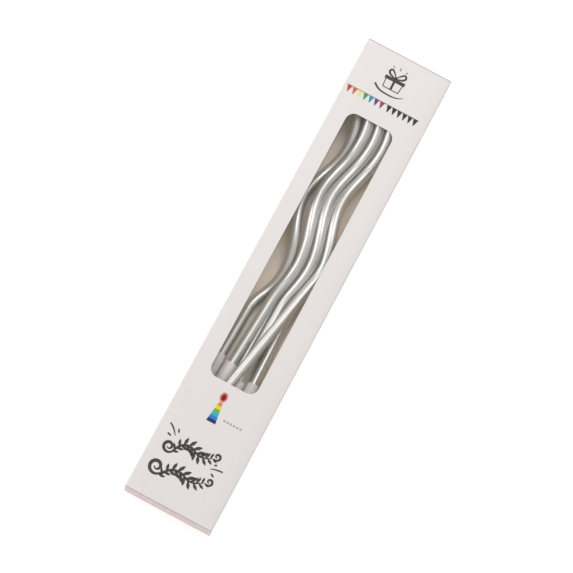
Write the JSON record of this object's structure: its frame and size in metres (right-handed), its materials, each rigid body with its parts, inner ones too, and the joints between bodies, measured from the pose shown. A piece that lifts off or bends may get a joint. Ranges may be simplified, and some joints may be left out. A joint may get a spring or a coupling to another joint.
{
  "type": "boxed set of spiral cake candles",
  "caption": "Slim folding carton with a film window and tuck-in ends, holding silver spiral cake candles that stand in push-on plastic spike holders.",
  "frame": {"origin": "under the middle of the carton, on the surface that it lies on", "axes": "+Y along the carton to its top end, +Z out through the window, +X to the right seen from the front"},
  "size_m": [0.0378, 0.205, 0.016],
  "materials": {
    "board": "white coated folding board, satin outside, greyish beige inside",
    "film": "clear gloss film",
    "wax": "silver lacquer on wax, satin",
    "wick": "waxed cotton braid",
    "holder": "milky translucent moulded plastic"
  },
  "bodies": {
    "carton": {"carton_sleeve": "board", "window_film": "film"},
    "top_lid": {"top_lid_panel": "board"},
    "top_tuck": {"top_tuck_flap": "board"},
    "top_dust_left": {"top_dust_flap_left": "board"},
    "top_dust_right": {"top_dust_flap_right": "board"},
    "bottom_lid": {"bottom_lid_panel": "board"},
    "bottom_tuck": {"bottom_tuck_flap": "board"},
    "bottom_dust_left": {"bottom_dust_flap_left": "board"},
    "bottom_dust_right": {"bottom_dust_flap_right": "board"},
    "candle_1": {"candle_1_wax": "wax", "candle_1_wick": "wick"},
    "holder_1": {"candle_1_holder": "holder"},
    "candle_2": {"candle_2_wax": "wax", "candle_2_wick": "wick"},
    "holder_2": {"candle_2_holder": "holder"},
    "candle_3": {"candle_3_wax": "wax", "candle_3_wick": "wick"},
    "holder_3": {"candle_3_holder": "holder"},
    "candle_4": {"candle_4_wax": "wax", "candle_4_wick": "wick"},
    "holder_4": {"candle_4_holder": "holder"},
    "candle_5": {"candle_5_wax": "wax", "candle_5_wick": "wick"},
    "holder_5": {"candle_5_holder": "holder"},
    "candle_6": {"candle_6_wax": "wax", "candle_6_wick": "wick"},
    "holder_6": {"candle_6_holder": "holder"}
  },
  "joints": [
    {"name": "top_lid_fold", "type": "hinge", "parent": "carton", "child": "top_lid", "pos_m": [0, 0.10228, 0.01581], "axis": [1, 0, 0], "range_deg": [0, 150]},
    {"name": "top_tuck_fold", "type": "hinge", "parent": "top_lid", "child": "top_tuck", "pos_m": [0, 0.10228, 0.0007], "axis": [-1, 0, 0], "range_deg": [0, 45]},
    {"name": "top_dust_left_fold", "type": "hinge", "parent": "carton", "child": "top_dust_left", "pos_m": [-0.0187, 0.10173, 0.00801], "axis": [0, 0, 1], "range_deg": [0, 75]},
    {"name": "top_dust_right_fold", "type": "hinge", "parent": "carton", "child": "top_dust_right", "pos_m": [0.0187, 0.10173, 0.00801], "axis": [0, 0, -1], "range_deg": [0, 75]},
    {"name": "bottom_lid_fold", "type": "hinge", "parent": "carton", "child": "bottom_lid", "pos_m": [0, -0.10228, 0.01581], "axis": [-1, 0, 0], "range_deg": [0, 150]},
    {"name": "bottom_tuck_fold", "type": "hinge", "parent": "bottom_lid", "child": "bottom_tuck", "pos_m": [0, -0.10228, 0.0007], "axis": [1, 0, 0], "range_deg": [0, 45]},
    {"name": "bottom_dust_left_fold", "type": "hinge", "parent": "carton", "child": "bottom_dust_left", "pos_m": [-0.0187, -0.10173, 0.00801], "axis": [0, 0, -1], "range_deg": [0, 75]},
    {"name": "bottom_dust_right_fold", "type": "hinge", "parent": "carton", "child": "bottom_dust_right", "pos_m": [0.0187, -0.10173, 0.00801], "axis": [0, 0, 1], "range_deg": [0, 75]},
    {"name": "candle_1_slide", "type": "slide", "parent": "carton", "child": "candle_1", "axis": [0, 1, 0], "range_m": [-0.0015, 0.0035]},
    {"name": "holder_1_slide", "type": "slide", "parent": "candle_1", "child": "holder_1", "axis": [-0.0356, -0.9992, -0.0192], "range_m": [0, 0.0109]},
    {"name": "candle_2_slide", "type": "slide", "parent": "carton", "child": "candle_2", "axis": [0, 1, 0], "range_m": [-0.0015, 0.0035]},
    {"name": "holder_2_slide", "type": "slide", "parent": "candle_2", "child": "holder_2", "axis": [-0.0619, -0.9981, 0.0004], "range_m": [0, 0.0109]},
    {"name": "candle_3_slide", "type": "slide", "parent": "carton", "child": "candle_3", "axis": [0, 1, 0], "range_m": [-0.0015, 0.0035]},
    {"name": "holder_3_slide", "type": "slide", "parent": "candle_3", "child": "holder_3", "axis": [-0.02, -0.9994, 0.0275], "range_m": [0, 0.0109]},
    {"name": "candle_4_slide", "type": "slide", "parent": "carton", "child": "candle_4", "axis": [0, 1, 0], "range_m": [-0.0015, 0.0035]},
    {"name": "holder_4_slide", "type": "slide", "parent": "candle_4", "child": "holder_4", "axis": [-0.1877, -0.982, 0.0229], "range_m": [0, 0.0109]},
    {"name": "candle_5_slide", "type": "slide", "parent": "carton", "child": "candle_5", "axis": [0, 1, 0], "range_m": [-0.0015, 0.0035]},
    {"name": "holder_5_slide", "type": "slide", "parent": "candle_5", "child": "holder_5", "axis": [0.027, -0.9977, 0.0615], "range_m": [0, 0.0109]},
    {"name": "candle_6_slide", "type": "slide", "parent": "carton", "child": "candle_6", "axis": [0, 1, 0], "range_m": [-0.0015, 0.0035]},
    {"name": "holder_6_slide", "type": "slide", "parent": "candle_6", "child": "holder_6", "axis": [-0.0166, -0.9998, 0.0061], "range_m": [0, 0.0109]}
  ],
  "couplings": [
    {"joint": "top_dust_left_fold", "follows": "top_lid_fold", "ratio": 0.5},
    {"joint": "top_dust_right_fold", "follows": "top_lid_fold", "ratio": 0.5},
    {"joint": "bottom_dust_left_fold", "follows": "bottom_lid_fold", "ratio": 0.5},
    {"joint": "bottom_dust_right_fold", "follows": "bottom_lid_fold", "ratio": 0.5},
    {"joint": "candle_2_slide", "follows": "candle_1_slide", "ratio": 1},
    {"joint": "candle_3_slide", "follows": "candle_1_slide", "ratio": 1},
    {"joint": "candle_4_slide", "follows": "candle_1_slide", "ratio": 1},
    {"joint": "candle_5_slide", "follows": "candle_1_slide", "ratio": 1},
    {"joint": "candle_6_slide", "follows": "candle_1_slide", "ratio": 1}
  ]
}
